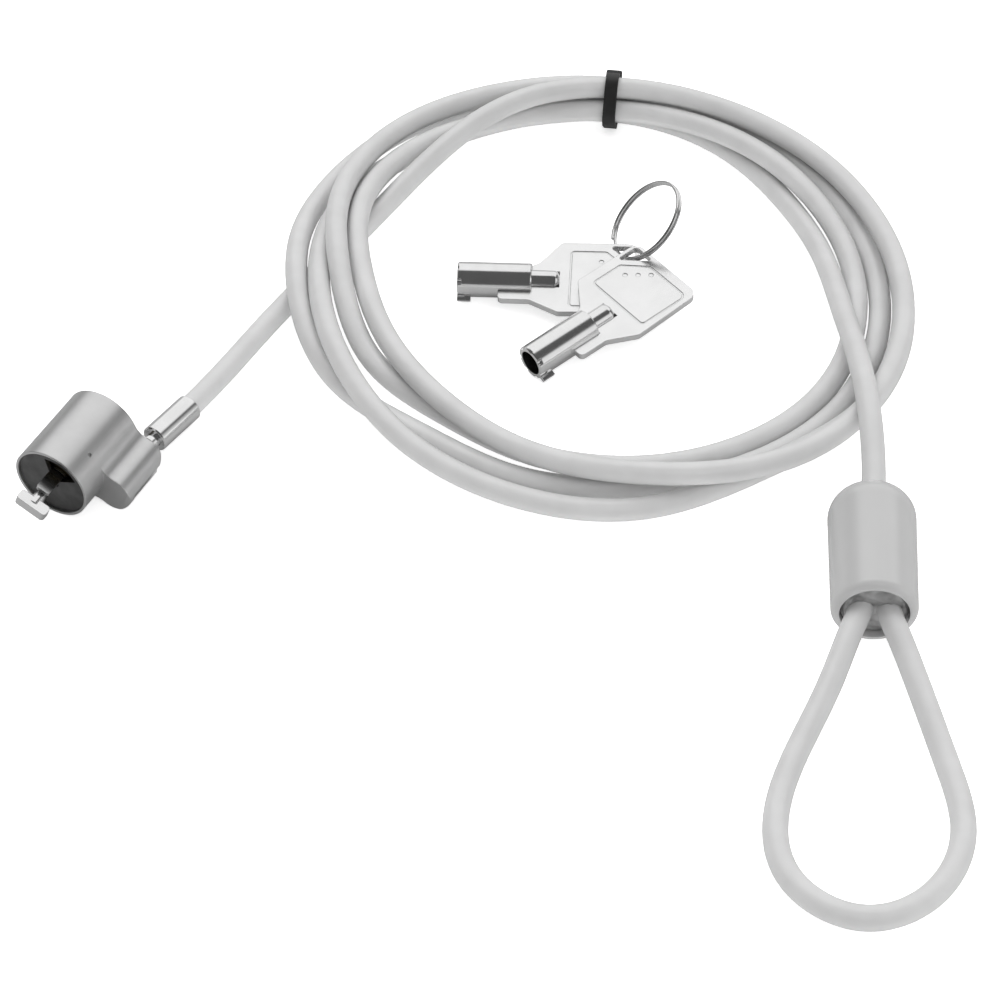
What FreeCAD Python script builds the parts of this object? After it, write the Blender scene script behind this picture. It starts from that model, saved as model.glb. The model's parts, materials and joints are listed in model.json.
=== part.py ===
import FreeCAD, Part
import math
import os

# Laptop cable lock: a coiled, jacketed steel cable with a crimped end loop, a tubular-key lock head
# on a swivel, and two keys on a split ring. Millimetres, +Z up, the whole lock lying on z = 0.
# Everything is laid out around a bench datum and then moved by SHIFT, so that the origin is at the
# middle of the footprint.

V = FreeCAD.Vector
SHIFT = V(3.6, -10.6, 0)

# ---- cable -------------------------------------------------------------------------------------
CABLE_R = 2.25
CORE_R = 1.5
CORE_BORE_R = 1.53
FIT = 0.03
KNOTS_PER_PIECE = 6

COIL_CENTRE = (21.0, 56.0)
COIL_STEP_DEG = 24.0
# The coil is wound by hand, so its turns wander and cross. Each row is one turn, clockwise from the
# left: (distance from the coil's centre, height of the cable's axis) every COIL_STEP_DEG.
COIL_TURNS = [
    [None, (52.0, 3.2), (49.8, 8.3), (52.8, 11.1), (54.5, 10.9), (55.1, 10.0), (56.3, 9.1),
     (58.0, 8.3), (60.4, 8.1), (62.8, 8.2), (62.8, 9.1), (56.8, 8.0), (52.4, 7.1), (48.6, 7.3),
     (47.4, 7.5)],
    [(48.8, 7.6), (53.9, 7.6), (54.9, 6.9), (53.0, 6.2), (51.7, 6.9), (51.0, 7.1), (50.1, 6.7),
     (50.7, 4.6), (51.2, 3.3), (51.5, 2.4), (50.8, 2.3), (49.8, 2.3), (48.4, 2.3), (47.5, 2.4),
     (51.3, 4.3)],
    [(53.4, 10.1), (58.0, 10.1), (60.3, 8.9), (59.8, 8.0), (58.4, 7.6), (57.1, 5.4), (55.9, 4.3),
     (55.6, 3.3), (56.0, 2.5), (56.3, 2.3), (55.7, 2.3), (55.0, 2.4), (55.3, 2.4), (54.8, 2.5),
     (59.7, 3.1)],
    [(62.1, 7.0), (64.2, 4.0), (64.9, 3.1), (63.4, 3.1), (60.4, 3.3), (61.2, 2.5), (60.5, 2.4),
     (60.3, 2.4), (60.8, 2.5), (60.9, 3.8), (59.7, 4.9), (60.9, 2.8), (60.5, 3.0), (59.6, 5.2),
     (58.0, 8.2)],
    [(57.5, 7.9), (58.6, 5.0), (57.8, 2.9), (56.7, 3.0), (55.5, 3.3), (52.4, 2.4), (47.4, 2.6),
     (45.7, 4.1)],
]
FIRST_COIL_KNOT = 4
STEM_KNOT = 76
# The stem leaves the coil over its right side and runs to the end sleeve.
STEM = [(68.1, 45.5, 7.1), (69.1, 34.1, 9.4), (69.5, 23.3, 12.1), (69.8, 15.1, 13.0),
        (70.1, 6.0, 11.4)]

# ---- end loop, crimp and sleeve -----------------------------------------------------------------
SLEEVE_R = 8.2
SLEEVE_LIP_END_R = 7.9
SLEEVE_LEN = 28.8
SLEEVE_TOP = (69.1, -6.9)
SLEEVE_YAW_DEG = 3.9
SLEEVE_SHOULDER_R = 5.95
SLEEVE_LIP_R = 1.5
SLEEVE_MOUTH_R = 6.35
SLEEVE_TOP_WALL = 3.0
CRIMP_LEN = 13.0
CRIMP_WALL = 1.05
CRIMP_RECESS = 1.6
LEG_HALF = 2.5
# The loop below the mouth, as (across, along, height) from the mouth's centre, left leg first.
LOOP = [(-4.2, 3.6, 7.6), (-8.0, 14.5, 5.3), (-13.4, 27.5, 3.0), (-17.2, 42.0, 2.3),
        (-14.4, 55.0, 2.3), (-3.2, 61.6, 2.3), (8.6, 56.5, 2.3), (14.6, 43.5, 2.3),
        (12.4, 29.0, 2.9), (8.2, 15.5, 5.1), (4.2, 4.0, 7.5)]

# ---- cable tie ----------------------------------------------------------------------------------
TIE_AT_DEG = 96.0
TIE_WIDTH = 2.7
TIE_THICK = 0.95
TIE_HEAD = (3.4, 3.4, 2.0)
TIE_HEAD_DEG = 12.0
TIE_SHIFT_X = -2.5
TIE_YAW_DEG = -8.0

# ---- lock head, in its own frame: z from the key face to the nose, x towards the lobe -----------
NOSE_YAW_DEG = 27.4
BARREL_R = 7.75
BARREL_LEN = 18.2
REAR_CENTRE = V(-75.7, 13.1, BARREL_R)
LOBE_R = 3.9
LOBE_AT = 10.0
LOBE_LEN = 12.2
LOBE_CORNER_R = 2.5
WEB_FILLET_R = 4.0
KEYWAY_R = 4.0
COLLAR_R = 5.8
COLLAR_LEN = 1.5
STATOR_R = 6.15
STATOR_START = 9.0
STATOR_END = 15.9
STATOR_PIN_DEG = 66.0
STATOR_PIN_Z = 12.6
STATOR_PIN_R = 0.4
STATOR_PIN_LEN = 2.0
NOSE_SEAT = 16.75
NOSE_R = 7.25
NOSE_THICK = 0.9

PIVOT_X = 8.6
PIVOT_Z = 4.5
PIVOT_R = 0.8
PIVOT_TOP = 2.75
PIT_R = 0.5
PIT_DEPTH = 0.7
PIT_DEG = -5.0
PIT_Z = 9.4
TONGUE_THICK = 2.2
TONGUE_HALF = 2.1
SLOT_THICK = 2.4
SLOT_X = 6.2
SLOT_END = 7.2
SLOT_LONG_X = 9.2
SLOT_LONG_END = 10.3
LINK_REST_DEG = 6.5

# ---- rotor, spindle and pins --------------------------------------------------------------------
PIN_COUNT = 7
PIN_CIRCLE_R = 3.2
PIN_R = 0.75
PIN_HOLE_R = 0.79
POST_R = 2.4
POST_START = 0.8
FLANGE_R = 5.0
FLANGE_START = 9.1
SHEAR_Z = 11.2
STATOR_FLOOR = 11.25
DRIVER_END = 13.0
CHAMBER_END = 15.4
SPRING_TURNS = 5
SPRING_MEAN_R = 0.52
SPRING_WIRE_R = 0.11
SHAFT_R = 1.2
SHAFT_BORE_R = 1.25
SHAFT_ROOT = 5.0
T_HEAD = (6.4, 2.0, 2.3)
T_TIP = BARREL_LEN + 7.3
LUG_WIDTH = 2.8
LUG_THICK = 0.8
LUG_FROM_AXIS = 1.5
LUG_TIP = 21.9
WINDOW_R = 5.75
WINDOW_DEG = (46, 123)
STOP_R = 0.35
STOP_CIRCLE_R = 4.6
TURN_DEG = 90.0

# ---- swivel link and ferrule, along the link's axis from the pivot -------------------------------
TONGUE_LEN = 6.4
NECK_R = 1.5
NECK_END = 9.6
HEAD_R = 2.1
HEAD_LEN = 1.1
FERRULE_START = 7.9
FERRULE_LEN = 11.2
FERRULE_R = 2.7
FERRULE_CAP = 1.3
FERRULE_CAVITY_LEN = 2.75
CABLE_START = 12.2

# ---- keys and ring, keys in their own frame: x from the tube's mouth to the bow ------------------
KEY_TUBE_R = 3.55
KEY_BORE_R = 2.6
KEY_TUBE_LEN = 15.0
KEY_BORE_LEN = 11.0
KEY_SHANK_R = 2.25
KEY_SHANK_END = 20.6
KEY_LUG = (2.7, 1.0, 1.0)
BOW_THICK = 1.3
BOW_START = 20.5
BOW_END = 36.5
BOW_TOP = 10.4
BOW_BOTTOM = -8.95
TAB_START = 8.3
TAB_Y = -5.8
KEY_1_MOUTH = V(-8.528, 57.483, 4.064)
KEY_1_TURN_DEG = (-3.334, -1.052, 3.976)
KEY_2_MOUTH = V(5.994, 33.245, 3.912)
KEY_2_TURN_DEG = (38.666, -4.985, 1.395)
RING_CENTRE = V(29.895, 68.332, 10.208)
RING_TILT_DEG = 44.69
RING_HEADING_DEG = 185.64
RING_START_DEG = 106.05
RING_R = 8.75
RING_WIRE_R = 0.33
RING_PITCH = 0.71
RING_TURNS = 1.93
RING_KNOTS = 48
RING_KNOTS_PER_PIECE = 12


# ---- helpers ------------------------------------------------------------------------------------
def polar(radius, deg):
    """A point in the lock's cross-section."""
    return V(radius * math.cos(math.radians(deg)), radius * math.sin(math.radians(deg)), 0)


def rod(radius, start, end, x=0.0, y=0.0):
    """A cylinder along z between two heights."""
    return Part.makeCylinder(radius, end - start, V(x, y, start), V(0, 0, 1))


def block(x0, x1, y0, y1, z0, z1):
    return Part.makeBox(x1 - x0, y1 - y0, z1 - z0, V(x0, y0, z0))


def lock_placement():
    """The lock's frame in the bench frame: nose along local z, lobe along local x."""
    yaw = math.radians(NOSE_YAW_DEG)
    nose = V(-math.sin(yaw), -math.cos(yaw), 0)
    side = V(math.cos(yaw), -math.sin(yaw), 0)
    drop = math.asin((BARREL_R - LOBE_R) / LOBE_AT)
    lobe = side * math.cos(drop) - V(0, 0, 1) * math.sin(drop)
    return FreeCAD.Placement(REAR_CENTRE, FreeCAD.Rotation(lobe, nose.cross(lobe), nose, "ZXY"))


LOCK = lock_placement()


def in_lock(shape):
    """Carry a shape from the lock's frame to the bench frame."""
    placed = shape.copy()
    placed.Placement = LOCK.multiply(placed.Placement)
    return placed


def link_placement():
    """The link's frame: origin at the pivot, z along the link towards the cable."""
    tilt = math.radians(LINK_REST_DEG)
    axis = V(math.sin(tilt), 0, -math.cos(tilt))
    inner = FreeCAD.Placement(V(PIVOT_X, 0, PIVOT_Z), FreeCAD.Rotation(V(1, 0, 0), V(0, 1, 0), axis, "ZYX"))
    return LOCK.multiply(inner)


LINK = link_placement()


def in_link(shape):
    placed = shape.copy()
    placed.Placement = LINK.multiply(placed.Placement)
    return placed


def sleeve_placement():
    """The sleeve's frame: z from its shoulder to its mouth, x to the right."""
    yaw = math.radians(SLEEVE_YAW_DEG)
    along = V(-math.sin(yaw), -math.cos(yaw), 0)
    across = V(math.cos(yaw), -math.sin(yaw), 0)
    return FreeCAD.Placement(V(SLEEVE_TOP[0], SLEEVE_TOP[1], SLEEVE_R),
                             FreeCAD.Rotation(across, along.cross(across), along, "ZXY"))


SLEEVE = sleeve_placement()


def in_sleeve(shape):
    placed = shape.copy()
    placed.Placement = SLEEVE.multiply(placed.Placement)
    return placed


def save(name, shape):
    """Write one sub-part, moved to the final origin."""
    moved = shape.copy()
    moved.translate(SHIFT)
    moved.exportStep("parts/" + name + ".step")


# ---- cable --------------------------------------------------------------------------------------
def coil_points():
    points = []
    for turn, row in enumerate(COIL_TURNS):
        for station, entry in enumerate(row):
            if entry is None:
                continue
            radius, height = entry
            angle = math.radians(turn * 360.0 + station * COIL_STEP_DEG)
            points.append(V(COIL_CENTRE[0] - radius * math.cos(angle),
                            COIL_CENTRE[1] + radius * math.sin(angle), height))
    return points


def crimp_span():
    """Start and end of the crimp along the sleeve."""
    end = SLEEVE_LEN - CRIMP_RECESS
    return end - CRIMP_LEN, end


def loop_points():
    """Cable inside the sleeve, round the end loop and back to its cut end."""
    start, end = crimp_span()
    local = [V(0, 0, SLEEVE_TOP_WALL - 0.5)]
    middle = (start + end) / 2
    local += [V(-LEG_HALF, 0, start - 0.5), V(-LEG_HALF, 0, middle), V(-LEG_HALF, 0, end)]
    points = [SLEEVE.multVec(p) for p in local]
    for across, along, height in LOOP:
        mouth = SLEEVE.multVec(V(across, 0, SLEEVE_LEN + along))
        points.append(V(mouth.x, mouth.y, height))
    tail = [V(LEG_HALF, 0, end), V(LEG_HALF, 0, middle), V(LEG_HALF, 0, start - 0.8)]
    return points + [SLEEVE.multVec(p) for p in tail]


def cable_curve():
    """Centre line of the whole cable, from the ferrule to the cut end in the crimp."""
    ferrule_end = FERRULE_START + FERRULE_LEN
    points = [LINK.multVec(V(0, 0, CABLE_START)), LINK.multVec(V(0, 0, ferrule_end))]
    points += [V(-53.2, 34.0, 2.7), V(-44.2, 50.0, 2.5)]
    points += coil_points()
    points += [V(*p) for p in STEM]
    points += loop_points()
    params = [0.0]
    for a, b in zip(points, points[1:]):
        params.append(params[-1] + math.sqrt((b - a).Length))
    curve = Part.BSplineCurve()
    curve.interpolate(Points=points, Parameters=params)
    return curve


CURVE = cable_curve()


def section(curve, at, radius):
    """The rod's round section at one place on the curve."""
    return Part.Wire([Part.Circle(curve.value(at), curve.tangent(at)[0], radius).toShape()])


def skin(curve, first, last, radius):
    """Outside surface of a round rod along one stretch of a curve."""
    stretch = curve.copy()
    stretch.segment(first, last)
    sweep = Part.BRepOffsetAPI.MakePipeShell(Part.Wire([stretch.toShape()]))
    sweep.setMaxSegments(200)
    sweep.setTolerance(1e-4, 1e-4, 1e-2)
    sweep.add(section(curve, first, radius))
    sweep.build()
    return sweep.shape()


def skin_faces(curve, radius, per_piece=KNOTS_PER_PIECE):
    """The whole rod's surface, swept in stretches that begin and end at the curve's knots."""
    knots = curve.getKnots()
    cuts = knots[:-per_piece // 2:per_piece] + [knots[-1]]
    faces = []
    for first, last in zip(cuts, cuts[1:]):
        faces += skin(curve, first, last, radius).Faces
    return faces


def sewn_solid(faces):
    shape = Part.Compound(faces)
    shape.sewShape(0.01)
    solid = Part.Solid(shape.Shells[0])
    if solid.Volume < 0:
        solid.reverse()
    return solid


def rod_along(curve, first, last, radius):
    """Solid rod along a short stretch, used as a cutting tool."""
    faces = skin(curve, first, last, radius).Faces
    faces += [Part.Face(section(curve, first, radius)), Part.Face(section(curve, last, radius))]
    return sewn_solid(faces)


def cable_jacket():
    faces = skin_faces(CURVE, CABLE_R) + skin_faces(CURVE, CORE_BORE_R)
    for at in (CURVE.FirstParameter, CURVE.LastParameter):
        faces.append(Part.Face([section(CURVE, at, CABLE_R), section(CURVE, at, CORE_BORE_R)]))
    return sewn_solid(faces)


def cable_core():
    faces = skin_faces(CURVE, CORE_R)
    for at in (CURVE.FirstParameter, CURVE.LastParameter):
        faces.append(Part.Face(section(CURVE, at, CORE_R)))
    return sewn_solid(faces)


def cable_ferrule():
    end = FERRULE_START + FERRULE_LEN
    body = rod(FERRULE_R, FERRULE_START, end)
    rim = [e for e in body.Edges if e.Closed]
    body = body.makeChamfer(0.25, rim)
    neck = rod(NECK_R + 0.04, FERRULE_START - 1, FERRULE_START + FERRULE_CAP + 0.1)
    cavity = rod(HEAD_R + 0.08, FERRULE_START + FERRULE_CAP, FERRULE_START + FERRULE_CAP + FERRULE_CAVITY_LEN)
    knots = CURVE.getKnots()
    cable = rod_along(CURVE, knots[0], knots[2], CABLE_R + FIT)
    return in_link(body.cut(neck.fuse(cavity))).cut(cable)


# ---- end loop fittings --------------------------------------------------------------------------
def quarter(centre_r, centre_z, radius, towards):
    """Quarter round of a turned profile; towards is +1 for the mouth end and -1 for the stem end."""
    s45 = math.sqrt(0.5)
    side = V(centre_r + radius, 0, centre_z)
    middle = V(centre_r + radius * s45, 0, centre_z + towards * radius * s45)
    end = V(centre_r, 0, centre_z + towards * radius)
    return Part.Arc(side, middle, end).toShape()


def end_sleeve():
    """Turned and slightly tapered: big shoulder at the stem, small round at the mouth."""
    shoulder = SLEEVE_R - SLEEVE_SHOULDER_R
    lip = SLEEVE_LIP_END_R - SLEEVE_LIP_R
    profile = [
        quarter(shoulder, SLEEVE_SHOULDER_R, SLEEVE_SHOULDER_R, -1),
        Part.makeLine(V(SLEEVE_R, 0, SLEEVE_SHOULDER_R), V(SLEEVE_LIP_END_R, 0, SLEEVE_LEN - SLEEVE_LIP_R)),
        quarter(lip, SLEEVE_LEN - SLEEVE_LIP_R, SLEEVE_LIP_R, 1),
        Part.makeLine(V(lip, 0, SLEEVE_LEN), V(0, 0, SLEEVE_LEN)),
        Part.makeLine(V(0, 0, SLEEVE_LEN), V(0, 0, 0)),
        Part.makeLine(V(0, 0, 0), V(shoulder, 0, 0)),
    ]
    body = Part.Face(Part.Wire(Part.__sortEdges__(profile))).revolve(V(0, 0, 0), V(0, 0, 1), 360)
    body = in_sleeve(body.cut(rod(SLEEVE_MOUTH_R, SLEEVE_TOP_WALL, SLEEVE_LEN + 1)))
    knots = CURVE.getKnots()
    return body.cut(rod_along(CURVE, knots[STEM_KNOT - 1], knots[STEM_KNOT + 1], CABLE_R + FIT))


def end_crimp():
    """Figure-eight sleeve: two rings joined by a waist."""
    start, end = crimp_span()
    ring_r = CABLE_R + CRIMP_WALL
    body = rod(ring_r, start, end, -LEG_HALF)
    body = body.fuse([rod(ring_r, start, end, LEG_HALF),
                      block(-LEG_HALF, LEG_HALF, -ring_r + 0.55, ring_r - 0.55, start, end)])
    body = in_sleeve(body.removeSplitter())
    knots = CURVE.getKnots()
    stem_side = rod_along(CURVE, knots[STEM_KNOT], knots[STEM_KNOT + 4], CABLE_R + FIT)
    cut_side = rod_along(CURVE, knots[-4], knots[-1], CABLE_R + FIT)
    return body.cut(stem_side).cut(cut_side)


def hull(points):
    """Convex outline of (y, z) points, counter-clockwise."""
    ordered = sorted(points)

    def half(sequence):
        chain = []
        for p in sequence:
            while len(chain) > 1 and ((chain[-1][0] - chain[-2][0]) * (p[1] - chain[-2][1])
                                      <= (chain[-1][1] - chain[-2][1]) * (p[0] - chain[-2][0])):
                chain.pop()
            chain.append(p)
        return chain[:-1]

    return half(ordered) + half(ordered[::-1])


def tie_section():
    """Where the turns of the coil cross the tie's plane, as (y, z), and the plane's x."""
    angle = math.radians(TIE_AT_DEG)
    row = [turn[int(TIE_AT_DEG / COIL_STEP_DEG)] for turn in COIL_TURNS]
    plane_x = COIL_CENTRE[0] - 54.5 * math.cos(angle)
    return plane_x, [(COIL_CENTRE[1] + r * math.sin(angle), z) for r, z in row]


def cable_tie():
    """Strap drawn round the bundle, with its locking head and the cut tail."""
    x, centres = tie_section()
    corners = [V(x - TIE_WIDTH / 2, y, z) for y, z in hull(centres)]
    outline = Part.Wire(Part.makePolygon(corners + [corners[0]]).Edges)
    inner = Part.Face(outline.makeOffset2D(CABLE_R + 0.06))
    outer = Part.Face(outline.makeOffset2D(CABLE_R + 0.06 + TIE_THICK))
    band = outer.cut(inner).extrude(V(TIE_WIDTH, 0, 0))
    hole = inner.extrude(V(TIE_WIDTH, 0, 0))
    top_y, top_z = max(centres, key=lambda c: c[0] + c[1])
    wide, deep, high = TIE_HEAD
    head = Part.makeBox(wide, deep, high, V(-wide / 2, -deep / 2, 0))
    head = head.makeFillet(0.4, head.Edges)
    tail = Part.makeBox(TIE_WIDTH - 0.3, 1.0, high + 0.6, V(-(TIE_WIDTH - 0.3) / 2, -0.5, -0.2))
    head = head.fuse(tail)
    head.rotate(V(0, 0, 0), V(1, 0, 0), TIE_HEAD_DEG)
    reach = CABLE_R + 0.35
    lean = math.radians(TIE_HEAD_DEG)
    head.translate(V(x, top_y - reach * math.sin(lean), top_z + reach * math.cos(lean)))
    tie = band.fuse(head.cut(hole)).removeSplitter()
    tie.rotate(V(x, sum(c[0] for c in centres) / len(centres), 0), V(0, 0, 1), TIE_YAW_DEG)
    tie.translate(V(TIE_SHIFT_X, 0, 0))
    knots = CURVE.getKnots()
    first = FIRST_COIL_KNOT + int(TIE_AT_DEG / COIL_STEP_DEG) - 1
    for turn in range(len(COIL_TURNS)):
        at = first + turn * len(COIL_TURNS[0])
        tie = tie.cut(rod_along(CURVE, knots[at - 1], knots[at + 1], CABLE_R + FIT))
    return tie


# ---- lock head ----------------------------------------------------------------------------------
def web_face():
    """Flat web with concave fillets that joins the barrel to the lobe."""
    near, far = BARREL_R + WEB_FILLET_R, LOBE_R + WEB_FILLET_R
    x = (near ** 2 - far ** 2 + LOBE_AT ** 2) / (2 * LOBE_AT)
    y = math.sqrt(near ** 2 - x ** 2)
    edges = []
    for sign in (1, -1):
        centre = V(x, sign * y, 0)
        on_barrel = centre * (BARREL_R / near)
        on_lobe = V(LOBE_AT, 0, 0) + (centre - V(LOBE_AT, 0, 0)) * (LOBE_R / far)
        middle_way = (on_barrel - centre) + (on_lobe - centre)
        middle = centre + middle_way * (WEB_FILLET_R / middle_way.Length)
        edges.append(Part.Arc(on_barrel, middle, on_lobe).toShape())
        edges.append((on_barrel, on_lobe))
    (top, (tb, tl), bottom, (bb, bl)) = edges
    return Part.Face(Part.Wire(Part.__sortEdges__([top, Part.makeLine(tl, bl), bottom, Part.makeLine(bb, tb)])))


def pit_drill():
    """Small blind hole low on the lobe's side, near its front."""
    out = polar(1.0, PIT_DEG)
    centre = V(LOBE_AT, 0, PIT_Z)
    return Part.makeCylinder(PIT_R, 3, centre + out * (LOBE_R - PIT_DEPTH), out)


def lock_housing():
    barrel = rod(BARREL_R, 0, BARREL_LEN)
    web = web_face().extrude(V(0, 0, LOBE_LEN))
    lobe = rod(LOBE_R, 0, LOBE_LEN, LOBE_AT)
    edge = LOBE_AT + LOBE_R
    corner = block(edge - LOBE_CORNER_R, edge + 1, -9, 9, -1, LOBE_CORNER_R)
    round_off = Part.makeCylinder(LOBE_CORNER_R, 18, V(edge - LOBE_CORNER_R, -9, LOBE_CORNER_R), V(0, 1, 0))
    front = block(edge - 1.2, edge + 1, -9, 9, LOBE_LEN - 1.2, LOBE_LEN + 1)
    front_round = Part.makeCylinder(1.2, 18, V(edge - 1.2, -9, LOBE_LEN - 1.2), V(0, 1, 0))
    body = barrel.fuse([web, lobe]).removeSplitter()
    body = body.cut(corner.cut(round_off)).cut(front.cut(front_round))
    cuts = [rod(COLLAR_R + FIT, -1, COLLAR_LEN + 0.02), rod(KEYWAY_R, -1, STATOR_START + 0.5),
            rod(STATOR_R, STATOR_START, BARREL_LEN + 1), rod(NOSE_R, NOSE_SEAT, BARREL_LEN + 1),
            block(SLOT_X, 20, -SLOT_THICK / 2, SLOT_THICK / 2, -1, SLOT_END),
            block(SLOT_LONG_X, 20, -SLOT_THICK / 2, SLOT_THICK / 2, -1, SLOT_LONG_END),
            Part.makeCylinder(PIVOT_R + 0.01, 10 + PIVOT_TOP, V(PIVOT_X, -10, PIVOT_Z), V(0, 1, 0)),
            pit_drill(),
            stator_pin_rod(0.01)]
    return in_lock(body.cut(cuts[0].fuse(cuts[1:])))


def stator_pin_rod(grow):
    """Radial pin through the barrel's wall into the stator; its outer end lies in a small pit."""
    out = polar(1.0, STATOR_PIN_DEG)
    length = STATOR_PIN_LEN + (2.0 if grow else 0)
    start = out * (BARREL_R - 0.25 - STATOR_PIN_LEN) + V(0, 0, STATOR_PIN_Z)
    return Part.makeCylinder(STATOR_PIN_R + grow, length, start, out)


def keyway_collar():
    ring = rod(COLLAR_R, 0, COLLAR_LEN).cut(rod(KEYWAY_R, -1, COLLAR_LEN + 1))
    notch = block(-0.7, 0.7, -KEYWAY_R - 1.1, 0, -1, COLLAR_LEN + 1)
    return in_lock(ring.cut(notch))


def pin_places():
    return [polar(PIN_CIRCLE_R, 90.0 + k * 360.0 / PIN_COUNT) for k in range(PIN_COUNT)]


def pin_rods(radius, start, end):
    return [rod(radius, start, end, p.x, p.y) for p in pin_places()]


def pin_stator():
    body = rod(STATOR_R - FIT, STATOR_START + 0.02, STATOR_END)
    flange_room = rod(FLANGE_R + 0.05, STATOR_START - 1, STATOR_FLOOR)
    chambers = pin_rods(PIN_HOLE_R, STATOR_FLOOR - 0.1, CHAMBER_END)
    stop = rod(STOP_R, STATOR_FLOOR - 0.1, STATOR_FLOOR + 1.6, STOP_CIRCLE_R)
    bore = rod(SHAFT_BORE_R, STATOR_START - 1, STATOR_END + 1)
    return in_lock(body.cut(flange_room.fuse(chambers + [stop, bore, stator_pin_rod(0.01)])))


def stop_pin():
    return in_lock(rod(STOP_R, STATOR_FLOOR - 1.2, STATOR_FLOOR + 1.6, STOP_CIRCLE_R))


def stator_pin():
    return in_lock(stator_pin_rod(0.0))


def nose_plate():
    """Disc with a lug bent out of it, which leaves a fan-shaped window behind."""
    top = NOSE_SEAT + NOSE_THICK
    disc = rod(NOSE_R - FIT, NOSE_SEAT + 0.02, top)
    tools = [rod(SHAFT_BORE_R + 0.1, NOSE_SEAT - 1, top + 1)]
    right, left = V(LUG_WIDTH / 2, LUG_FROM_AXIS, 0), V(-LUG_WIDTH / 2, LUG_FROM_AXIS + LUG_THICK, 0)
    corner = V(LUG_WIDTH / 2, LUG_FROM_AXIS + LUG_THICK, 0)
    outer_right, outer_left = polar(WINDOW_R, WINDOW_DEG[0]), polar(WINDOW_R, WINDOW_DEG[1])
    face = Part.Face(Part.Wire([
        Part.makeLine(corner, right),
        Part.makeLine(right, outer_right),
        Part.Arc(outer_right, polar(WINDOW_R, sum(WINDOW_DEG) / 2), outer_left).toShape(),
        Part.makeLine(outer_left, left),
        Part.makeLine(left, corner)]))
    window = face.extrude(V(0, 0, 3))
    window.translate(V(0, 0, NOSE_SEAT - 1))
    tools.append(window)
    disc = disc.cut(tools[0].fuse(tools[1:]))
    lug = block(-LUG_WIDTH / 2, LUG_WIDTH / 2, LUG_FROM_AXIS, LUG_FROM_AXIS + LUG_THICK, NOSE_SEAT + 0.1, LUG_TIP)
    sharp = [e for e in lug.Edges if abs(e.tangentAt(e.FirstParameter).y) > 0.9
             and e.CenterOfMass.z > LUG_TIP - 0.1]
    lug = lug.makeFillet(0.5, sharp)
    return in_lock(disc.fuse(lug).removeSplitter())


def key_rotor():
    flange = rod(FLANGE_R, FLANGE_START, SHEAR_Z)
    post = rod(POST_R, POST_START, FLANGE_START + 0.5)
    tip = [e for e in post.Edges if e.Closed and e.CenterOfMass.z < POST_START + 0.1]
    post = post.makeChamfer(0.5, tip)
    body = flange.fuse(post).removeSplitter()
    half = math.degrees(math.asin((STOP_R + 0.05) / STOP_CIRCLE_R))
    arc_in, arc_out = STOP_CIRCLE_R - STOP_R - 0.06, FLANGE_R + 1
    sweep = TURN_DEG + 2 * half + 1.0
    groove = Part.makeCylinder(arc_out, 2.5, V(0, 0, STATOR_FLOOR - 1.3), V(0, 0, 1), sweep)
    groove = groove.cut(rod(arc_in, 0, 20))
    groove.rotate(V(0, 0, 0), V(0, 0, 1), -TURN_DEG - half - 0.5)
    holes = pin_rods(PIN_HOLE_R, FLANGE_START - 1, SHEAR_Z + 1)
    bore = rod(SHAFT_R + 0.01, SHAFT_ROOT, SHEAR_Z + 1)
    return in_lock(body.cut(groove.fuse(holes + [bore])))


def t_bar():
    wide, thick, deep = T_HEAD
    shaft = rod(SHAFT_R, SHAFT_ROOT + 0.1, T_TIP - deep / 2)
    groove = rod(SHAFT_R + 1, STATOR_END + 0.1, STATOR_END + 0.6).cut(rod(SHAFT_R - 0.35, 0, 30))
    head = block(-wide / 2, wide / 2, -thick / 2, thick / 2, T_TIP - deep, T_TIP)
    long_edges = [e for e in head.Edges if abs(e.tangentAt(e.FirstParameter).y) > 0.9]
    head = head.makeFillet(0.7, long_edges)
    return in_lock(shaft.cut(groove).fuse(head).removeSplitter())


def spindle_clip():
    ring = rod(2.5, STATOR_END + 0.13, STATOR_END + 0.57).cut(rod(SHAFT_R - 0.33, 0, 30))
    return in_lock(ring.cut(block(0, 5, -0.7, 0.7, STATOR_END, STATOR_END + 1)))


def key_pins():
    return in_lock(Part.makeCompound(pin_rods(PIN_R, FLANGE_START + 0.1, SHEAR_Z)))


def driver_pins():
    return in_lock(Part.makeCompound(pin_rods(PIN_R, STATOR_FLOOR, DRIVER_END)))


def pin_springs():
    """Seven small coil springs between the drivers and the chambers' ends."""
    start, end = DRIVER_END + SPRING_WIRE_R + 0.02, CHAMBER_END - SPRING_WIRE_R - 0.02
    spine = Part.makeHelix((end - start) / SPRING_TURNS, end - start, SPRING_MEAN_R)
    first = spine.Edges[0].valueAt(spine.Edges[0].FirstParameter)
    heading = spine.Edges[0].tangentAt(spine.Edges[0].FirstParameter)
    profile = Part.Wire([Part.Circle(first, heading, SPRING_WIRE_R).toShape()])
    coil = Part.Wire(spine.Edges).makePipeShell([profile], True, True)
    coils = []
    for place in pin_places():
        one = coil.copy()
        one.translate(V(place.x, place.y, start))
        coils.append(one)
    return in_lock(Part.makeCompound(coils))


def pivot_pin():
    """Pin driven in from below; its bore stops short of the lobe's top."""
    start = -LOBE_R + 0.5
    return in_lock(Part.makeCylinder(PIVOT_R, PIVOT_TOP - 0.05 - start, V(PIVOT_X, start, PIVOT_Z), V(0, 1, 0)))


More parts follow.
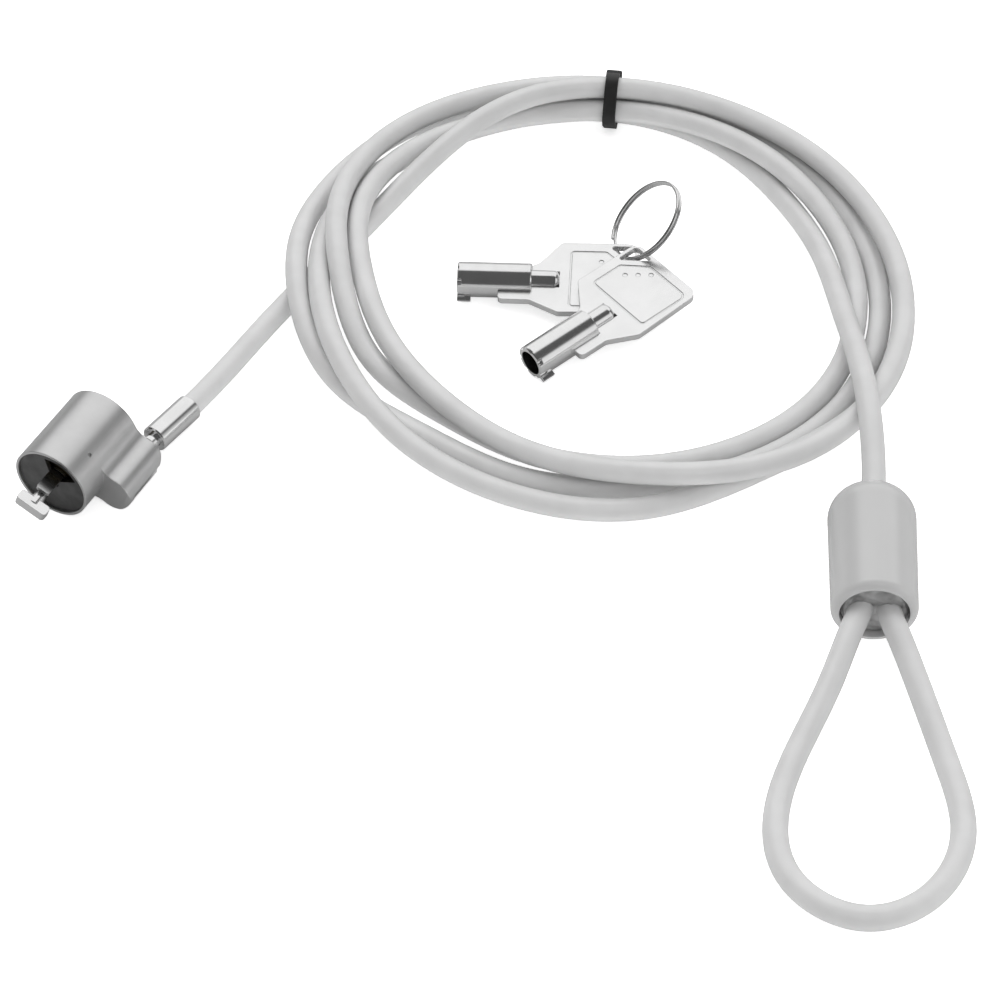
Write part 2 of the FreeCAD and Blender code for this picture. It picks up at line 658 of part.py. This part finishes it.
def swivel_link():
    """Flat eye in the lock's slot, round neck through the ferrule's cap, and a head inside it."""
    half = TONGUE_THICK / 2
    eye = Part.makeCylinder(TONGUE_HALF, TONGUE_THICK, V(0, -half, 0), V(0, 1, 0))
    bar = block(-TONGUE_HALF + 0.2, TONGUE_HALF - 0.2, -half, half, 0, TONGUE_LEN)
    neck = rod(NECK_R, TONGUE_LEN - 0.1, NECK_END)
    head = rod(HEAD_R, NECK_END, NECK_END + HEAD_LEN)
    hole = Part.makeCylinder(PIVOT_R + 0.04, 6, V(0, -3, 0), V(0, 1, 0))
    return in_link(eye.fuse([bar, neck, head]).removeSplitter().cut(hole))


# ---- keys ---------------------------------------------------------------------------------------
def key_placement(mouth, turn_deg):
    """Key's place from its mouth's centre and its yaw, pitch and roll."""
    yaw, pitch, roll = turn_deg
    turn = FreeCAD.Rotation(V(0, 0, 1), yaw)
    turn = turn.multiply(FreeCAD.Rotation(V(0, 1, 0), pitch))
    turn = turn.multiply(FreeCAD.Rotation(V(1, 0, 0), roll))
    return FreeCAD.Placement(mouth, turn)


def rounded_polygon(corners):
    """Closed wire through corners given as (x, y, radius)."""
    count = len(corners)
    ends = []
    for k, (x, y, radius) in enumerate(corners):
        here = V(x, y, 0)
        before = V(corners[k - 1][0], corners[k - 1][1], 0) - here
        after = V(corners[(k + 1) % count][0], corners[(k + 1) % count][1], 0) - here
        before.normalize()
        after.normalize()
        half = before.getAngle(after) / 2
        reach = radius / math.tan(half)
        bisector = before + after
        bisector.normalize()
        centre = here + bisector * (radius / math.sin(half))
        ends.append((here + before * reach, centre - bisector * radius, here + after * reach))
    edges = []
    for k, (start, middle, end) in enumerate(ends):
        edges.append(Part.Arc(start, middle, end).toShape())
        edges.append(Part.makeLine(end, ends[(k + 1) % count][0]))
    return Part.Wire(edges)


BOW_OUTLINE = [
    (BOW_END, BOW_BOTTOM + 0.6, 2.2), (BOW_END, BOW_TOP, 2.2), (BOW_START + 0.3, BOW_TOP, 1.4),
    (16.6, 4.6, 3.0), (13.0, 2.4, 0.6), (13.0, -3.2, 0.4), (TAB_START, -3.2, 0.3), (TAB_START, TAB_Y, 1.0),
    (14.6, TAB_Y, 2.0), (BOW_START, BOW_BOTTOM, 1.2),
]
PANEL_OUTLINE = [
    (34.4, -6.4, 1.2), (34.4, 3.6, 1.0), (30.0, 8.1, 1.0), (22.6, 8.1, 1.0), (22.6, -7.4, 1.0),
    (33.4, -7.4, 1.2),
]
HOLE_CORNER = (35.75, 9.65)
HOLE_LEG = 5.4
RING_HOLE = [
    (HOLE_CORNER[0], HOLE_CORNER[1] - HOLE_LEG, 0.5), (HOLE_CORNER[0], HOLE_CORNER[1], 0.9),
    (HOLE_CORNER[0] - HOLE_LEG, HOLE_CORNER[1], 0.5),
]
PANEL_DEPTH = 0.12
PANEL_GROOVE = 0.35
DOT_R = 0.5
DOT_DEPTH = 0.12
DOT_PLACES = [(28.93, 5.22), (30.88, 3.48), (32.83, 1.74)]


def key_bow(placement):
    plate = Part.Face(rounded_polygon(BOW_OUTLINE)).extrude(V(0, 0, BOW_THICK))
    hole = Part.Face(rounded_polygon(RING_HOLE)).extrude(V(0, 0, BOW_THICK + 2))
    hole.translate(V(0, 0, -1))
    wire = rounded_polygon(PANEL_OUTLINE)
    groove = Part.Face(wire).cut(Part.Face(wire.makeOffset2D(-PANEL_GROOVE)))
    groove = groove.extrude(V(0, 0, PANEL_DEPTH * 2))
    top, bottom = groove.copy(), groove.copy()
    top.translate(V(0, 0, BOW_THICK - PANEL_DEPTH))
    bottom.translate(V(0, 0, -PANEL_DEPTH))
    plate = plate.cut(hole).cut(top).cut(bottom)
    for x, y in DOT_PLACES:
        plate = plate.cut(Part.makeCylinder(DOT_R, 1, V(x, y, BOW_THICK - DOT_DEPTH)))
    plate.translate(V(0, 0, -BOW_THICK / 2))
    plate = plate.cut(key_barrel(0.01))
    plate.Placement = placement.multiply(plate.Placement)
    return plate


def key_barrel(grow):
    """Tube and shank as one round bar, optionally a little larger as a cutting tool."""
    tube = Part.makeCylinder(KEY_TUBE_R + grow, KEY_TUBE_LEN + grow, V(0, 0, 0), V(1, 0, 0))
    shank = Part.makeCylinder(KEY_SHANK_R + grow, KEY_SHANK_END - KEY_TUBE_LEN + 1, V(KEY_TUBE_LEN - 1, 0, 0),
                              V(1, 0, 0))
    if grow == 0:
        rim = [e for e in shank.Edges if e.Closed and e.CenterOfMass.x > KEY_SHANK_END - 0.1]
        shank = shank.makeFillet(1.3, rim)
        back = [e for e in tube.Edges if e.Closed]
        tube = tube.makeChamfer(0.2, back)
    return tube.fuse(shank)


def key_tube(placement):
    body = key_barrel(0)
    bore = Part.makeCylinder(KEY_BORE_R, KEY_BORE_LEN, V(-1, 0, 0), V(1, 0, 0))
    long, wide, high = KEY_LUG
    lug = Part.makeBox(long, wide, high + 0.6, V(0, -wide / 2, -KEY_TUBE_R - high))
    lug.rotate(V(0, 0, 0), V(1, 0, 0), -62)
    cuts = [bore]
    for k in range(PIN_COUNT):
        depth = 0.35 + 0.18 * (k * 3 % PIN_COUNT)
        cut = Part.makeCylinder(0.62, depth + 1, V(-1, KEY_TUBE_R, 0), V(1, 0, 0))
        cut.rotate(V(0, 0, 0), V(1, 0, 0), 90 + k * 360.0 / PIN_COUNT)
        cuts.append(cut)
    body = body.fuse(lug).removeSplitter()
    body = body.cut(cuts[0].fuse(cuts[1:]))
    body.Placement = placement.multiply(body.Placement)
    return body


def ring_curve():
    """Middle line of the split ring's wire, a flat double coil."""
    tilt, heading = math.radians(RING_TILT_DEG), math.radians(RING_HEADING_DEG)
    normal = V(math.sin(tilt) * math.cos(heading), math.sin(tilt) * math.sin(heading), math.cos(tilt))
    across = normal.cross(V(0, 0, 1))
    across.normalize()
    along = normal.cross(across)
    points = []
    for k in range(RING_KNOTS + 1):
        turned = RING_TURNS * k / RING_KNOTS
        angle = math.radians(RING_START_DEG) + 2 * math.pi * turned
        out = across * math.cos(angle) + along * math.sin(angle)
        points.append(RING_CENTRE + out * RING_R + normal * ((turned - RING_TURNS / 2) * RING_PITCH))
    curve = Part.BSplineCurve()
    curve.interpolate(points)
    return curve


def key_ring():
    """Split ring: a flat double coil of round wire."""
    curve = ring_curve()
    faces = skin_faces(curve, RING_WIRE_R, RING_KNOTS_PER_PIECE)
    for at in (curve.FirstParameter, curve.LastParameter):
        faces.append(Part.Face(section(curve, at, RING_WIRE_R)))
    return sewn_solid(faces)


KEY_1 = key_placement(KEY_1_MOUTH, KEY_1_TURN_DEG)
KEY_2 = key_placement(KEY_2_MOUTH, KEY_2_TURN_DEG)


def main():
    os.makedirs("parts", exist_ok=True)
    save("cable_jacket", cable_jacket())
    save("cable_core", cable_core())
    save("cable_ferrule", cable_ferrule())
    save("end_sleeve", end_sleeve())
    save("end_crimp", end_crimp())
    save("cable_tie", cable_tie())
    save("lock_housing", lock_housing())
    save("keyway_collar", keyway_collar())
    save("pin_stator", pin_stator())
    save("stator_pin", stator_pin())
    save("stop_pin", stop_pin())
    save("nose_plate", nose_plate())
    save("key_rotor", key_rotor())
    save("t_bar", t_bar())
    save("spindle_clip", spindle_clip())
    save("key_pins", key_pins())
    save("driver_pins", driver_pins())
    save("pin_springs", pin_springs())
    save("pivot_pin", pivot_pin())
    save("swivel_link", swivel_link())
    save("key_1_bow", key_bow(KEY_1))
    save("key_1_tube", key_tube(KEY_1))
    save("key_2_bow", key_bow(KEY_2))
    save("key_2_tube", key_tube(KEY_2))
    save("key_ring", key_ring())


main()
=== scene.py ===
import json
import math

import bpy
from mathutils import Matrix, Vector


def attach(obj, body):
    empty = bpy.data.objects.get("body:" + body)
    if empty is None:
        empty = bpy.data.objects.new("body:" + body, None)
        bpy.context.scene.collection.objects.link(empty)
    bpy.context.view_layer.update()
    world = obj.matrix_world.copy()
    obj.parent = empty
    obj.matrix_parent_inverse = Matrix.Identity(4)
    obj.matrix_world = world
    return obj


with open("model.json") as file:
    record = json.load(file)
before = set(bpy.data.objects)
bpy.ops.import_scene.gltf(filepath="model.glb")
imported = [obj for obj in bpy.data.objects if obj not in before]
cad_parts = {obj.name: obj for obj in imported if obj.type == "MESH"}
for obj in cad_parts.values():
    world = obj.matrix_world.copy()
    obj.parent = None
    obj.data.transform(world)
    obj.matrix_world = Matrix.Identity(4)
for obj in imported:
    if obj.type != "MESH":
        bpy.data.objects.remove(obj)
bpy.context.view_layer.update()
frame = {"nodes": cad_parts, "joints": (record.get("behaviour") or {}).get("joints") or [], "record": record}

MM = 0.001


def joint(name):
    """Joint of the frame with this name."""
    return next(j for j in frame["joints"] if j["name"] == name)


# ---- places, in millimetres from the foot of the camera's plumb line -----------------------------
PIVOT = Vector((-70.724, 5.452, 4.439))
ORIGIN = Vector(joint("head_pivot")["pos_m"]) - PIVOT * MM
NOSE_AXIS = Vector(joint("t_bar_turn")["axis"])
NOSE_JOINT = Vector(joint("t_bar_turn")["pos_m"])
SLEEVE_TOP = Vector((69.1, -6.9, 8.2))
SLEEVE_YAW = math.radians(3.9)
SLEEVE_LEN = 28.8
CRIMP_END = SLEEVE_LEN - 1.35
CRIMP_FACE_R = 6.15
CRIMP_FACE_THICK = 0.25
CRIMP_FACE_EDGE = 0.7
CRIMP_FACE_DROP = 0.15
POLISHED_OUT_MM = -2.25


def place(x, y, z):
    """Scene point, in metres, of a place given in millimetres."""
    return ORIGIN + Vector((x, y, z)) * MM


# ---- camera and stage ---------------------------------------------------------------------------
CAMERA_PLACE = place(0.0, -363.7, 390.0)
CAMERA_DOWN_DEG = 47.0
SENSOR_MM = 36.0
LENS_MM = 101.05
FLOOR_HALF = 3.0
FLOOR_DROP = 0.05 * MM
FLOOR_GLOW = 0.62
FLOOR_GLOW_REFLECTED = 0.03
FLOOR_GREY = (0.90, 0.91)
FLOOR_GREY_REFLECTED = 0.42
PANEL_LIGHTS = (
    ("key", (-0.4, 0.5, 1.1), (1.4, 1.2), 11.0),
    ("fill", (0.3, -0.7, 1.0), (1.4, 0.9), 7.0),
)

# Reflected studio. The bright panel's limits are a lean beyond the zenith in radians and a share of
# the view to the right; the side panel's are shares of the view to the right and to the far side.
PANEL_NEAR = (0.18, 0.28)
PANEL_FAR = (1.5, 1.3)
PANEL_RIGHT = (0.80, 0.62)
PANEL_LEFT = (-0.55, -0.38)
SIDE_RIGHT = (0.66, 0.78)
SIDE_DEPTH = (0.16, -0.02)
HORIZON_BAND = (0.24, 0.10)
DARK_LEVEL = 0.10
PANEL_LEVEL = 0.90
SIDE_LEVEL = 0.80
HORIZON_LEVEL = 0.30


METAL_DRIFT_PER_MM = 0.25
PLASTIC_DRIFT_PER_MM = 0.12
PLASTIC_GRAIN_PER_MM = 0.6
LIMIT_BLUR = 0.02 * MM


# ---- material helpers ---------------------------------------------------------------------------
def new_material(name):
    material = bpy.data.materials.new(name)
    material.use_nodes = True
    tree = material.node_tree
    tree.nodes.clear()
    output = tree.nodes.new("ShaderNodeOutputMaterial")
    shader = tree.nodes.new("ShaderNodeBsdfPrincipled")
    tree.links.new(shader.outputs["BSDF"], output.inputs["Surface"])
    coords = tree.nodes.new("ShaderNodeTexCoord")
    return material, tree, shader, coords.outputs["Object"]


def noise(tree, coords, per_mm, detail=4.0):
    """Noise with about this many features per millimetre."""
    node = tree.nodes.new("ShaderNodeTexNoise")
    node.inputs["Scale"].default_value = per_mm / MM
    node.inputs["Detail"].default_value = detail
    node.inputs["Roughness"].default_value = 0.6
    tree.links.new(coords, node.inputs["Vector"])
    return node.outputs["Fac"]


def spread(tree, value, low, high):
    """Map a 0-1 value to the range low-high."""
    node = tree.nodes.new("ShaderNodeMapRange")
    node.inputs["From Min"].default_value = 0.3
    node.inputs["From Max"].default_value = 0.7
    node.inputs["To Min"].default_value = low
    node.inputs["To Max"].default_value = high
    tree.links.new(value, node.inputs["Value"])
    return node.outputs["Result"]


def tint(tree, value, dark, light):
    """A colour between two greys or colours."""
    ramp = tree.nodes.new("ShaderNodeValToRGB")
    ramp.color_ramp.elements[0].position = 0.3
    ramp.color_ramp.elements[1].position = 0.7
    ramp.color_ramp.elements[0].color = (*dark, 1.0)
    ramp.color_ramp.elements[1].color = (*light, 1.0)
    tree.links.new(value, ramp.inputs["Fac"])
    return ramp.outputs["Color"]


def maths(tree, operation, first, second=None):
    node = tree.nodes.new("ShaderNodeMath")
    node.operation = operation
    for socket, value in zip(node.inputs, (first, second)):
        if isinstance(value, (int, float)):
            socket.default_value = value
        elif value is not None:
            tree.links.new(value, socket)
    return node.outputs["Value"]


def step(tree, value, start, end, low=0.0, high=1.0):
    """Smooth step from low to high while the value goes from start to end."""
    node = tree.nodes.new("ShaderNodeMapRange")
    node.interpolation_type = "SMOOTHSTEP"
    node.inputs["From Min"].default_value = min(start, end)
    node.inputs["From Max"].default_value = max(start, end)
    node.inputs["To Min"].default_value = low if start < end else high
    node.inputs["To Max"].default_value = high if start < end else low
    tree.links.new(value, node.inputs["Value"])
    return node.outputs["Result"]


def bump(tree, shader, value, height_mm, edge_mm=0.0):
    """Relief from a 0-1 value; edge_mm also softens the look of sharp edges."""
    node = tree.nodes.new("ShaderNodeBump")
    node.inputs["Strength"].default_value = 1.0
    node.inputs["Distance"].default_value = height_mm * MM
    tree.links.new(value, node.inputs["Height"])
    if edge_mm:
        edge = tree.nodes.new("ShaderNodeBevel")
        edge.samples = 6
        edge.inputs["Radius"].default_value = edge_mm * MM
        tree.links.new(edge.outputs["Normal"], node.inputs["Normal"])
    tree.links.new(node.outputs["Normal"], shader.inputs["Normal"])


def grey(level):
    return (level, level, level)


def metal(name, dark, light, rough, grain_per_mm=3.0, relief_mm=0.002, edge_mm=0.12):
    """Plated or bare metal: grain in colour, roughness and relief."""
    material, tree, shader, coords = new_material(name)
    shader.inputs["Metallic"].default_value = 1.0
    grain = noise(tree, coords, grain_per_mm)
    drift = noise(tree, coords, METAL_DRIFT_PER_MM, 2.0)
    tree.links.new(tint(tree, drift, dark, light), shader.inputs["Base Color"])
    tree.links.new(spread(tree, grain, rough * 0.85, rough * 1.15), shader.inputs["Roughness"])
    bump(tree, shader, grain, relief_mm, edge_mm)
    return material


def plastic(name, dark, light, rough, coat=0.0, relief_mm=0.01, edge_mm=0.0):
    """Moulded plastic: slow tone drift, fine relief, and a clear coat for the glossy ones."""
    material, tree, shader, coords = new_material(name)
    grain = noise(tree, coords, PLASTIC_GRAIN_PER_MM, 2.0)
    drift = noise(tree, coords, PLASTIC_DRIFT_PER_MM, 2.0)
    tree.links.new(tint(tree, drift, dark, light), shader.inputs["Base Color"])
    tree.links.new(spread(tree, grain, rough * 0.9, rough * 1.1), shader.inputs["Roughness"])
    shader.inputs["Coat Weight"].default_value = coat
    shader.inputs["Coat Roughness"].default_value = 0.12
    bump(tree, shader, grain, relief_mm, edge_mm)
    return material


def bright_beyond(material, height_mm):
    """Polished metal on the part of a dark plate that stands this far out along the nose's axis."""
    tree = material.node_tree
    shader = next(n for n in tree.nodes if n.type == "BSDF_PRINCIPLED")
    output = next(n for n in tree.nodes if n.type == "OUTPUT_MATERIAL")
    coords = next(n for n in tree.nodes if n.type == "TEX_COORD").outputs["Object"]
    dot = tree.nodes.new("ShaderNodeVectorMath")
    dot.operation = "DOT_PRODUCT"
    dot.inputs[1].default_value = NOSE_AXIS
    tree.links.new(coords, dot.inputs[0])
    limit = NOSE_JOINT.dot(NOSE_AXIS) + height_mm * MM
    polished = tree.nodes.new("ShaderNodeBsdfPrincipled")
    polished.inputs["Metallic"].default_value = 1.0
    polished.inputs["Base Color"].default_value = (0.62, 0.62, 0.62, 1.0)
    polished.inputs["Roughness"].default_value = 0.22
    mix = tree.nodes.new("ShaderNodeMixShader")
    beyond = step(tree, dot.outputs["Value"], limit - LIMIT_BLUR, limit + LIMIT_BLUR)
    tree.links.new(beyond, mix.inputs["Fac"])
    tree.links.new(shader.outputs["BSDF"], mix.inputs[1])
    tree.links.new(polished.outputs["BSDF"], mix.inputs[2])
    tree.links.new(mix.outputs["Shader"], output.inputs["Surface"])


def make_materials():
    return {
        "pvc_jacket": plastic("pvc_jacket", grey(0.57), grey(0.62), 0.34, coat=0.3, relief_mm=0.004),
        "sleeve_plastic": plastic("sleeve_plastic", grey(0.475), grey(0.485), 0.24, coat=0.6,
                                  relief_mm=0.001),
        "black_nylon": plastic("black_nylon", grey(0.012), grey(0.02), 0.45, relief_mm=0.02,
                               edge_mm=0.12),
        "satin_nickel": metal("satin_nickel", grey(0.66), grey(0.70), 0.33, 4.0, 0.0004, 0.25),
        "bright_nickel": metal("bright_nickel", grey(0.78), grey(0.83), 0.15, 3.0, 0.0008, 0.12),
        "key_plate": metal("key_plate", grey(0.84), grey(0.88), 0.24, 6.0, 0.0008, 0.22),
        "dark_plate": metal("dark_plate", grey(0.12), grey(0.19), 0.45, 7.0, 0.006, 0.05),
        "plain_steel": metal("plain_steel", grey(0.42), grey(0.50), 0.3, 5.0, 0.002, 0.06),
        "rope_steel": metal("rope_steel", grey(0.38), grey(0.55), 0.35, 3.0, 0.05, 0.0),
        "crimp_alloy": metal("crimp_alloy", grey(0.34), grey(0.74), 0.40, 1.1, 0.12, 0.05),
        "brass": metal("brass", (0.10, 0.085, 0.05), (0.16, 0.13, 0.07), 0.4, 5.0, 0.002, 0.06),
    }


MATERIALS = make_materials()
bright_beyond(MATERIALS["dark_plate"], POLISHED_OUT_MM)


def dress_cad_nodes():
    """Give every carried-over CAD node its material."""
    for entry in frame["record"]["subparts"]:
        mesh = frame["nodes"][entry["node"]].data
        mesh.materials.clear()
        mesh.materials.append(MATERIALS[entry["material_slot"]])


# ---- stage --------------------------------------------------------------------------------------
def make_floor():
    """Pale floor that looks darker in the metal than it does to the camera."""
    mesh = bpy.data.meshes.new("floor")
    h = FLOOR_HALF
    mesh.from_pydata([(-h, -h, 0), (h, -h, 0), (h, h, 0), (-h, h, 0)], [], [(0, 1, 2, 3)])
    floor = bpy.data.objects.new("floor", mesh)
    floor.location.z = -FLOOR_DROP
    bpy.context.scene.collection.objects.link(floor)
    material, tree, shader, coords = new_material("floor")
    faint = noise(tree, coords, 0.01, 2.0)
    in_reflection = tree.nodes.new("ShaderNodeLightPath").outputs["Is Glossy Ray"]
    mix = tree.nodes.new("ShaderNodeMix")
    mix.data_type = "RGBA"
    tree.links.new(in_reflection, mix.inputs["Factor"])
    tree.links.new(tint(tree, faint, *map(grey, FLOOR_GREY)), mix.inputs["A"])
    mix.inputs["B"].default_value = (*grey(FLOOR_GREY_REFLECTED), 1.0)
    tree.links.new(mix.outputs["Result"], shader.inputs["Base Color"])
    glow = step(tree, in_reflection, 1.0, 0.0, FLOOR_GLOW_REFLECTED, FLOOR_GLOW)
    tree.links.new(glow, shader.inputs["Emission Strength"])
    shader.inputs["Roughness"].default_value = 0.9
    shader.inputs["Specular IOR Level"].default_value = 0.1
    shader.inputs["Emission Color"].default_value = (1.0, 1.0, 1.0, 1.0)
    mesh.materials.append(material)


def area_light(name, spot, size, power):
    """Soft light that doesn't show in reflections; the world holds what metal reflects."""
    data = bpy.data.lights.new(name, "AREA")
    data.shape = "RECTANGLE"
    data.size, data.size_y = size
    data.energy = power
    light = bpy.data.objects.new(name, data)
    light.location = spot
    light.rotation_euler = (-Vector(spot)).to_track_quat("-Z", "Y").to_euler()
    light.visible_glossy = False
    bpy.context.scene.collection.objects.link(light)


def make_world():
    """Studio: bright panel above the far side, one at the right, grey horizon, dark elsewhere."""
    world = bpy.data.worlds.new("studio")
    world.use_nodes = True
    tree = world.node_tree
    tree.nodes.clear()
    output = tree.nodes.new("ShaderNodeOutputWorld")
    background = tree.nodes.new("ShaderNodeBackground")
    tree.links.new(background.outputs["Background"], output.inputs["Surface"])
    coords = tree.nodes.new("ShaderNodeTexCoord")
    separate = tree.nodes.new("ShaderNodeSeparateXYZ")
    tree.links.new(coords.outputs["Generated"], separate.inputs["Vector"])
    x, y, z = (separate.outputs[axis] for axis in "XYZ")
    lean = maths(tree, "ARCTAN2", y, z)
    panel = maths(tree, "MULTIPLY", step(tree, lean, *PANEL_NEAR), step(tree, lean, *PANEL_FAR))
    panel = maths(tree, "MULTIPLY", panel, step(tree, x, *PANEL_RIGHT))
    panel = maths(tree, "MULTIPLY", panel, step(tree, x, *PANEL_LEFT))
    side = maths(tree, "MULTIPLY", step(tree, x, *SIDE_RIGHT), step(tree, y, *SIDE_DEPTH))
    horizon = step(tree, maths(tree, "ABSOLUTE", z), *HORIZON_BAND)
    level = maths(tree, "ADD", DARK_LEVEL, maths(tree, "MULTIPLY", panel, PANEL_LEVEL))
    level = maths(tree, "ADD", level, maths(tree, "MULTIPLY", side, SIDE_LEVEL))
    level = maths(tree, "ADD", level, maths(tree, "MULTIPLY", horizon, HORIZON_LEVEL))
    tree.links.new(level, background.inputs["Strength"])
    background.inputs["Color"].default_value = (1.0, 1.0, 1.0, 1.0)
    bpy.context.scene.world = world


def make_camera():
    data = bpy.data.cameras.new("camera")
    data.sensor_width = SENSOR_MM
    data.lens = LENS_MM
    data.clip_start = 0.01
    data.clip_end = 20.0
    camera = bpy.data.objects.new("camera", data)
    camera.location = CAMERA_PLACE
    camera.rotation_euler = (math.radians(90.0 - CAMERA_DOWN_DEG), 0.0, 0.0)
    bpy.context.scene.collection.objects.link(camera)
    bpy.context.scene.camera = camera


def make_stage():
    make_floor()
    make_world()
    for name, spot, size, power in PANEL_LIGHTS:
        area_light(name, spot, size, power)
    make_camera()
    view = bpy.context.scene.view_settings
    view.view_transform = "Standard"
    view.look = "None"


# ---- pieces -------------------------------------------------------------------------------------
def add_piece(name, mesh, body, slot):
    piece = bpy.data.objects.new(name, mesh)
    bpy.context.scene.collection.objects.link(piece)
    mesh.materials.append(MATERIALS[slot])
    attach(piece, body)
    return piece


def sleeve_point(across, up, along):
    """Point in the end sleeve's own frame: along runs from the stem's end to the mouth."""
    yaw = SLEEVE_YAW
    right = Vector((math.cos(yaw), -math.sin(yaw), 0.0))
    out = Vector((-math.sin(yaw), -math.cos(yaw), 0.0))
    spot = SLEEVE_TOP + right * across + Vector((0, 0, up)) + out * along
    return place(*spot)


def lump(x, y):
    """Height in mm of the pressed alloy's face: a kidney-shaped upper lobe, a low left one, dents."""
    upper = math.exp(-((x - 1.6) / 3.0) ** 2 - ((y - 2.6) / 1.5) ** 2)
    left = math.exp(-((x + 4.0) / 1.6) ** 2 - ((y - 0.2) / 2.4) ** 2)
    dent = math.exp(-((x + 1.0) / 1.5) ** 2 - ((y - 0.9) / 1.0) ** 2)
    wave = math.sin(2.9 * x + 1.3 * y) * math.sin(1.7 * x - 3.1 * y + 0.8)
    return 0.55 * upper + 0.35 * left - 0.35 * dent + 0.09 * wave


def make_crimp_face():
    """Pressed alloy in the mouth, over the flat end of the crimp."""
    rings, sides = 26, 96
    verts, faces = [sleeve_point(0, 0, CRIMP_END + CRIMP_FACE_THICK + lump(0, 0))], []
    for k in range(1, rings + 1):
        radius = CRIMP_FACE_R * k / rings
        fall = max(0.0, (radius - CRIMP_FACE_R + CRIMP_FACE_EDGE) / CRIMP_FACE_EDGE)
        for i in range(sides):
            a = 2 * math.pi * i / sides
            x, y = radius * math.cos(a), radius * math.sin(a)
            rise = (CRIMP_FACE_THICK + lump(x, y)) * (1 - fall ** 2) - CRIMP_FACE_DROP * fall
            verts.append(sleeve_point(x, y, CRIMP_END + rise))
    for i in range(sides):
        faces.append((0, 1 + i, 1 + (i + 1) % sides))
    for k in range(rings - 1):
        for i in range(sides):
            a, b = 1 + k * sides, 1 + (k + 1) * sides
            j = (i + 1) % sides
            faces.append((a + i, b + i, b + j, a + j))
    mesh = bpy.data.meshes.new("end_crimp_face")
    mesh.from_pydata(verts, [], faces)
    mesh.polygons.foreach_set("use_smooth", [True] * len(mesh.polygons))
    add_piece("end_crimp_face", mesh, "cable", "crimp_alloy")


dress_cad_nodes()
make_crimp_face()
make_stage()
